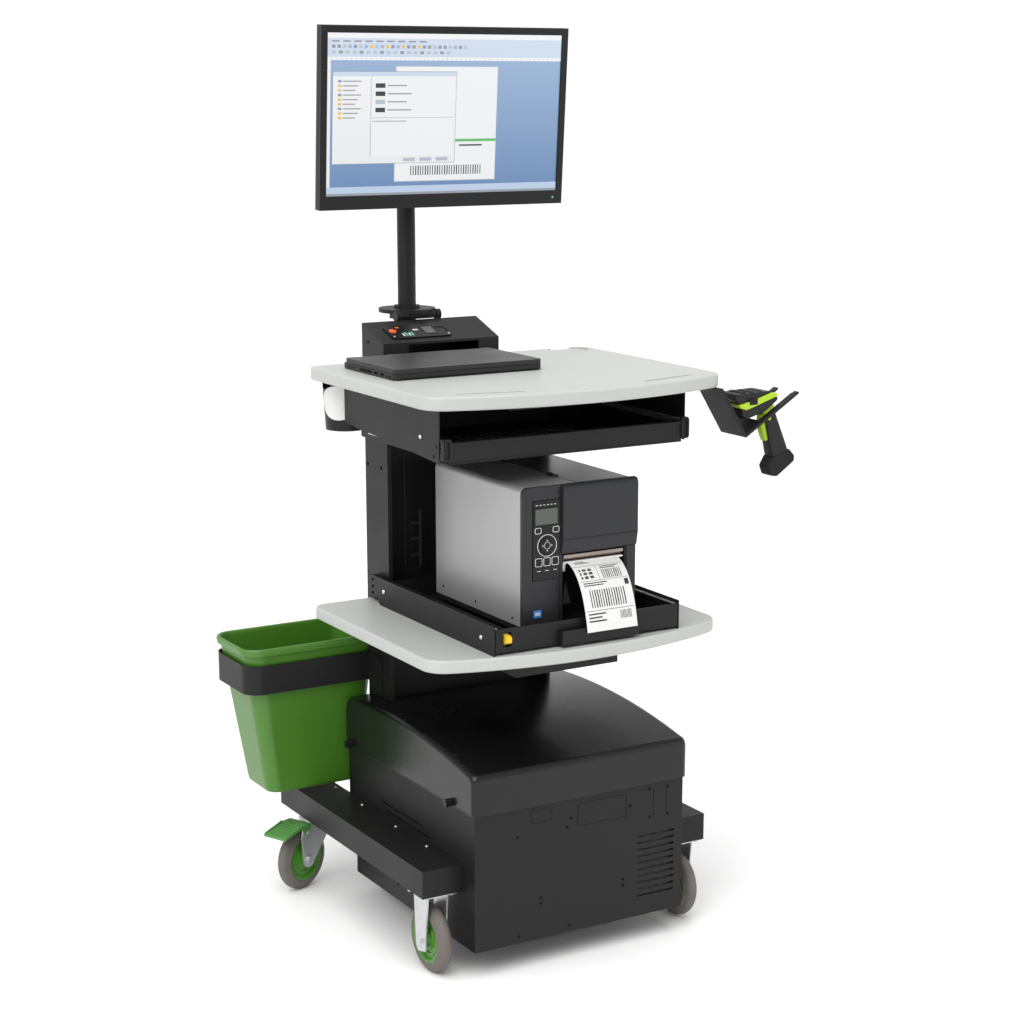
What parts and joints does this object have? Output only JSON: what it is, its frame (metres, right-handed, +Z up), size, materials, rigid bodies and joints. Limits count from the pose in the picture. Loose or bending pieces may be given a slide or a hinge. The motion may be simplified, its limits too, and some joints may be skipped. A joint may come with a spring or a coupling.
{
  "type": "mobile label printing workstation cart",
  "caption": "Powered cart on casters with worktop, keyboard drawer, label printer on a slide-out tray, monitor on a mast, battery cabinet, waste bin and hand scanner.",
  "frame": {"origin": "on the floor, on the cart's centre plane, midway between the front axle and the rear swivel axes", "axes": "+Z up, -Y towards the user, +X to the right of the user facing the cart"},
  "size_m": [0.965, 0.811, 1.7739],
  "materials": {
    "black_sheet": "fine texture powder coat",
    "board": "light grey laminate on fibreboard",
    "black_moulding": "smooth black moulding",
    "black_plastic": "fine grain",
    "zinc": "bright zinc plate",
    "tyre": "grey-brown elastic tread on a green core",
    "green_plastic": "satin green moulding",
    "battery_case": "dark blue-grey case",
    "inverter_case": "satin",
    "silver_cover": "satin silver-grey",
    "printer_grey": "fine grain charcoal",
    "panel_gloss": "gloss membrane",
    "key": "satin keys",
    "platen_rubber": "ground rubber",
    "label_paper": "coated label stock",
    "latch_yellow": "satin",
    "laptop_case": "soft satin",
    "display": "lit display",
    "orange": "lit button",
    "scanner_lime": "satin"
  },
  "bodies": {
    "root": {"base_rail_left": "black_sheet", "base_rail_right": "black_sheet", "cabinet": "black_sheet", "cabinet_lid": "black_moulding", "thumb_screws": "black_plastic", "column": "black_sheet", "batteries": "battery_case", "inverter": "inverter_case", "front_caster_forks": "zinc", "rear_caster_plates": "zinc", "caster_fasteners": "zinc", "lower_shelf": "board", "worktop": "board", "shelf_bracket": "black_sheet", "drawer_housing": "black_sheet", "slide_rails": "zinc", "printer_cradle": "black_sheet", "laptop_base": "laptop_case", "control_box": "black_sheet", "meter_panel": "panel_gloss", "mast_bracket": "black_sheet", "mast": "black_sheet", "mast_collar": "black_sheet", "bin_bracket": "black_sheet", "cup_holder": "black_plastic", "scanner_holder": "black_sheet"},
    "wheel_fl": {"wheel_front_left": "tyre"},
    "wheel_fr": {"wheel_front_right": "tyre"},
    "caster_left": {"swivel_fork_left": "zinc"},
    "caster_right": {"swivel_fork_right": "zinc"},
    "wheel_rl": {"wheel_rear_left": "tyre"},
    "wheel_rr": {"wheel_rear_right": "tyre"},
    "pedal_left": {"brake_pedal_left": "green_plastic"},
    "pedal_right": {"brake_pedal_right": "green_plastic"},
    "drawer": {"keyboard_drawer": "black_sheet", "keyboard": "black_plastic"},
    "tray": {"printer_tray": "black_sheet", "printer_chassis": "printer_grey", "printer_cover": "silver_cover", "printer_front": "printer_grey", "control_panel": "panel_gloss", "label_strip": "label_paper"},
    "latch": {"tray_latch": "latch_yellow"},
    "door_top": {"media_door_top": "printer_grey"},
    "door_side": {"media_door_side": "printer_grey"},
    "nav": {"nav_pad": "key"},
    "pause": {"pause_key": "key"},
    "feed": {"feed_key": "key"},
    "cancel": {"cancel_key": "key"},
    "platen": {"platen_roller": "platen_rubber"},
    "roll": {"label_roll": "label_paper"},
    "lid": {"laptop_lid": "laptop_case"},
    "power": {"power_button": "orange"},
    "collar": {"height_collar": "black_sheet"},
    "arm": {"monitor_arm": "black_sheet"},
    "display": {"monitor_shell": "black_plastic", "screen": "display"},
    "bin": {"waste_bin": "green_plastic"},
    "gun": {"scanner": "black_plastic"},
    "trigger": {"scanner_trigger": "scanner_lime"}
  },
  "joints": [
    {"name": "wheel_front_left_spin", "type": "hinge", "parent": "root", "child": "wheel_fl", "pos_m": [-0.284, -0.267, 0.068], "axis": [1, 0, 0], "continuous": true},
    {"name": "wheel_front_right_spin", "type": "hinge", "parent": "root", "child": "wheel_fr", "pos_m": [0.284, -0.267, 0.068], "axis": [1, 0, 0], "continuous": true},
    {"name": "caster_left_swivel", "type": "hinge", "parent": "root", "child": "caster_left", "pos_m": [-0.284, 0.267, 0.14], "axis": [0, 0, 1], "continuous": true},
    {"name": "caster_right_swivel", "type": "hinge", "parent": "root", "child": "caster_right", "pos_m": [0.284, 0.267, 0.14], "axis": [0, 0, 1], "continuous": true},
    {"name": "wheel_rear_left_spin", "type": "hinge", "parent": "caster_left", "child": "wheel_rl", "pos_m": [-0.31689, 0.25236, 0.068], "axis": [0.4067, -0.9135, 0], "continuous": true},
    {"name": "wheel_rear_right_spin", "type": "hinge", "parent": "caster_right", "child": "wheel_rr", "pos_m": [0.31689, 0.25236, 0.068], "axis": [0.4067, 0.9135, 0], "continuous": true},
    {"name": "brake_pedal_left_press", "type": "hinge", "parent": "caster_left", "child": "pedal_left", "pos_m": [-0.3242, 0.2491, 0.131], "axis": [0.4067, -0.9135, 0], "range_deg": [0, 12]},
    {"name": "brake_pedal_right_press", "type": "hinge", "parent": "caster_right", "child": "pedal_right", "pos_m": [0.3242, 0.2491, 0.131], "axis": [0.4067, 0.9135, 0], "range_deg": [0, 12]},
    {"name": "keyboard_drawer_slide", "type": "slide", "parent": "root", "child": "drawer", "axis": [0, -1, 0], "range_m": [0, 0.3]},
    {"name": "printer_tray_slide", "type": "slide", "parent": "root", "child": "tray", "axis": [0, -1, 0], "range_m": [0, 0.28]},
    {"name": "tray_latch_turn", "type": "hinge", "parent": "tray", "child": "latch", "pos_m": [-0.178, -0.366, 0.669], "axis": [1, 0, 0], "range_deg": [-20, 20], "stiffness_Nm_per_rad": 0.3},
    {"name": "media_door_top_hinge", "type": "hinge", "parent": "tray", "child": "door_top", "pos_m": [0.0065, -0.13, 0.9384], "axis": [0, -1, 0], "range_deg": [0, 12]},
    {"name": "media_door_side_hinge", "type": "hinge", "parent": "door_top", "child": "door_side", "pos_m": [0.1315, -0.13, 0.9235], "axis": [0, -1, 0], "range_deg": [0, 80]},
    {"name": "nav_pad_press", "type": "slide", "parent": "tray", "child": "nav", "axis": [0, 1, 0], "range_m": [0, 0.0012], "stiffness_N_per_m": 500},
    {"name": "pause_key_press", "type": "slide", "parent": "tray", "child": "pause", "axis": [0, 1, 0], "range_m": [0, 0.0012], "stiffness_N_per_m": 300},
    {"name": "feed_key_press", "type": "slide", "parent": "tray", "child": "feed", "axis": [0, 1, 0], "range_m": [0, 0.0012], "stiffness_N_per_m": 300},
    {"name": "cancel_key_press", "type": "slide", "parent": "tray", "child": "cancel", "axis": [0, 1, 0], "range_m": [0, 0.0012], "stiffness_N_per_m": 300},
    {"name": "platen_spin", "type": "hinge", "parent": "tray", "child": "platen", "pos_m": [0.038, -0.296, 0.778], "axis": [1, 0, 0], "continuous": true},
    {"name": "label_roll_spin", "type": "hinge", "parent": "tray", "child": "roll", "pos_m": [0.048, -0.11, 0.8], "axis": [1, 0, 0], "continuous": true},
    {"name": "laptop_lid_hinge", "type": "hinge", "parent": "root", "child": "lid", "pos_m": [-0.11, 0.09, 1.138], "axis": [-1, 0, 0], "range_deg": [0, 130]},
    {"name": "power_button_press", "type": "slide", "parent": "root", "child": "power", "axis": [0, 0.3308, -0.9437], "range_m": [0, 0.0015], "stiffness_N_per_m": 500},
    {"name": "monitor_height", "type": "slide", "parent": "root", "child": "collar", "axis": [0, 0, 1], "range_m": [-0.2, 0.02]},
    {"name": "monitor_pan", "type": "hinge", "parent": "collar", "child": "arm", "pos_m": [0, 0.346, 1.57], "axis": [0, 0, 1], "range_deg": [-60, 60]},
    {"name": "monitor_tilt", "type": "hinge", "parent": "arm", "child": "display", "pos_m": [0, 0.236, 1.602], "axis": [1, 0, 0], "range_deg": [-20, 6]},
    {"name": "waste_bin_lift", "type": "slide", "parent": "root", "child": "bin", "axis": [0, 0, 1], "range_m": [0, 0.3]},
    {"name": "scanner_lift", "type": "slide", "parent": "root", "child": "gun", "axis": [0, 0, 1], "range_m": [0, 0.15]},
    {"name": "scanner_trigger_pull", "type": "hinge", "parent": "gun", "child": "trigger", "pos_m": [0.426, -0.329, 1.029], "axis": [0, -1, 0], "range_deg": [0, 5], "stiffness_Nm_per_rad": 0.4}
  ],
  "couplings": [
    {"joint": "label_roll_spin", "follows": "platen_spin", "ratio": 0.14516}
  ]
}
